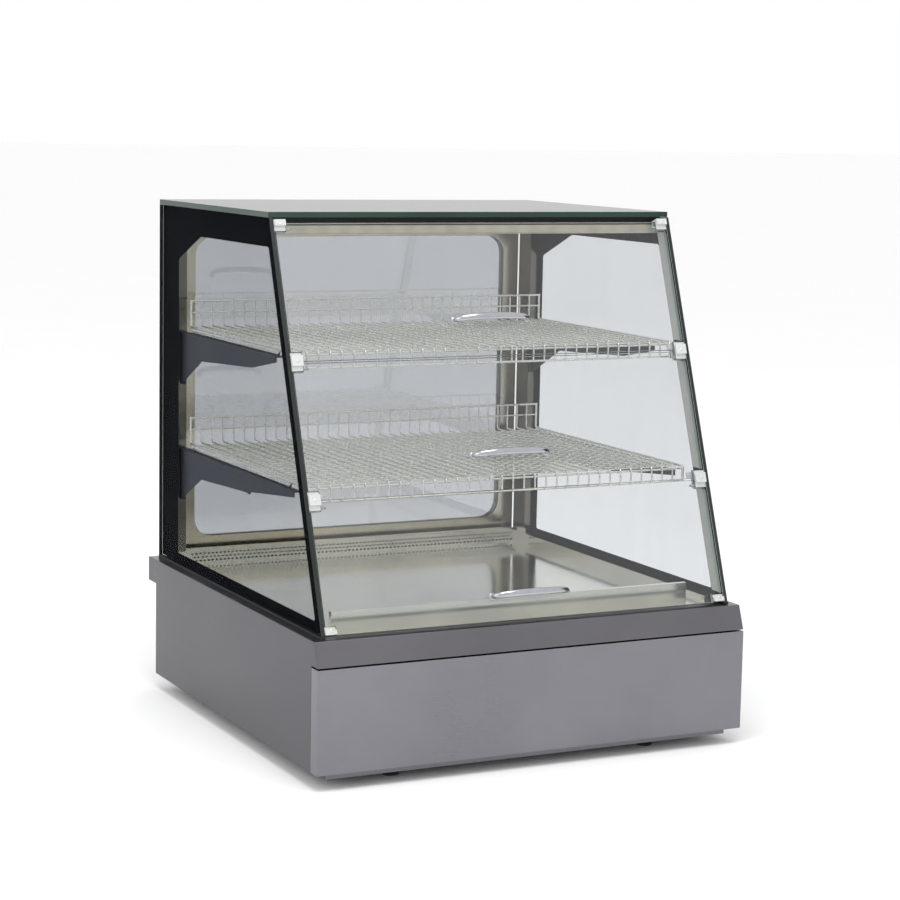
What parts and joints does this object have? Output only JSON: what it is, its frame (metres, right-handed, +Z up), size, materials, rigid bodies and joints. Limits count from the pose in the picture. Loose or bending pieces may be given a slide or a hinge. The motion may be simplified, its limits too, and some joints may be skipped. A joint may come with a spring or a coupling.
{
  "type": "hot food display case",
  "caption": "Heated countertop display case with glass sides and top, wire shelves on brackets, sloping lift-up front flaps, a mirrored rear door and a stainless base",
  "frame": {"origin": "on the counter, under the middle of the case's outline", "axes": "+X to the customer's right, +Y from the customer's side to the operator's side, +Z up"},
  "size_m": [0.7, 0.7, 0.795],
  "materials": {
    "stainless": "brushed grain",
    "bright_stainless": "fine polished",
    "zinc_steel": "plain galvanised",
    "chrome": "polished",
    "clear_glass": "clear tempered",
    "mirror_glass": "one-way mirror",
    "slate_paint": "satin slate grey",
    "black_plastic": "matte",
    "black_rubber": "matte",
    "frosted_plastic": "translucent",
    "cream_plastic": "opal"
  },
  "bodies": {
    "case": {"body_shell": "stainless", "front_panel": "stainless", "rear_panel": "stainless", "deck_tray": "bright_stainless", "post_left": "bright_stainless", "post_right": "bright_stainless", "rear_header": "bright_stainless", "base_pan": "zinc_steel", "air_duct": "zinc_steel", "fan_motor": "zinc_steel", "thermostat_body": "zinc_steel", "door_pivot_lower": "chrome", "door_pivot_upper": "chrome", "shelf_upper": "chrome", "shelf_lower": "chrome", "side_glass_left": "clear_glass", "side_glass_right": "clear_glass", "top_glass": "clear_glass", "bracket_upper_left": "slate_paint", "bracket_upper_right": "slate_paint", "bracket_lower_left": "slate_paint", "bracket_lower_right": "slate_paint", "lamp_rail": "slate_paint", "heating_element": "slate_paint", "power_switch_body": "black_plastic", "light_switch_body": "black_plastic", "temperature_display": "black_plastic", "cable_gland": "black_plastic", "foot_front_left": "black_rubber", "foot_front_right": "black_rubber", "foot_rear_left": "black_rubber", "foot_rear_right": "black_rubber", "glass_seal_left": "black_rubber", "glass_seal_right": "black_rubber", "clip_left_1": "frosted_plastic", "clip_left_2": "frosted_plastic", "clip_left_3": "frosted_plastic", "clip_left_4": "frosted_plastic", "clip_right_1": "frosted_plastic", "clip_right_2": "frosted_plastic", "clip_right_3": "frosted_plastic", "clip_right_4": "frosted_plastic", "lamp_diffuser": "cream_plastic", "terminal_block": "cream_plastic"},
    "flap_upper": {"flap_upper": "clear_glass", "handle_upper": "chrome"},
    "flap_middle": {"flap_middle": "clear_glass", "handle_middle": "chrome"},
    "flap_lower": {"flap_lower": "clear_glass", "handle_lower": "chrome"},
    "rear_door": {"rear_door_frame": "bright_stainless", "rear_door_cover": "bright_stainless", "rear_door_mirror": "mirror_glass", "rear_door_gasket": "black_rubber", "rear_door_grip": "chrome"},
    "thermostat": {"thermostat_knob": "black_plastic"},
    "power_switch": {"power_rocker": "black_plastic"},
    "light_switch": {"light_rocker": "black_plastic"},
    "fan": {"fan_impeller": "zinc_steel"}
  },
  "joints": [
    {"name": "flap_upper_hinge", "type": "hinge", "parent": "case", "child": "flap_upper", "pos_m": [0, -0.12248, 0.77071], "axis": [-1, 0, 0], "range_deg": [0, 85]},
    {"name": "flap_middle_hinge", "type": "hinge", "parent": "case", "child": "flap_middle", "pos_m": [0, -0.19255, 0.57571], "axis": [-1, 0, 0], "range_deg": [0, 85]},
    {"name": "flap_lower_hinge", "type": "hinge", "parent": "case", "child": "flap_lower", "pos_m": [0, -0.26083, 0.38571], "axis": [-1, 0, 0], "range_deg": [0, 85]},
    {"name": "rear_door_hinge", "type": "hinge", "parent": "case", "child": "rear_door", "pos_m": [-0.3, 0.333, 0.49], "axis": [0, 0, 1], "range_deg": [0, 110]},
    {"name": "thermostat_turn", "type": "hinge", "parent": "case", "child": "thermostat", "pos_m": [0.2, 0.3171, 0.098], "axis": [0, -1, 0], "range_deg": [0, 270]},
    {"name": "power_rock", "type": "hinge", "parent": "case", "child": "power_switch", "pos_m": [0.12, 0.3151, 0.098], "axis": [-1, 0, 0], "range_deg": [0, 16]},
    {"name": "light_rock", "type": "hinge", "parent": "case", "child": "light_switch", "pos_m": [0.07, 0.3151, 0.098], "axis": [-1, 0, 0], "range_deg": [0, 16]},
    {"name": "fan_spin", "type": "hinge", "parent": "case", "child": "fan", "pos_m": [0, 0.1, 0.1355], "axis": [0, 0, 1], "continuous": true}
  ]
}
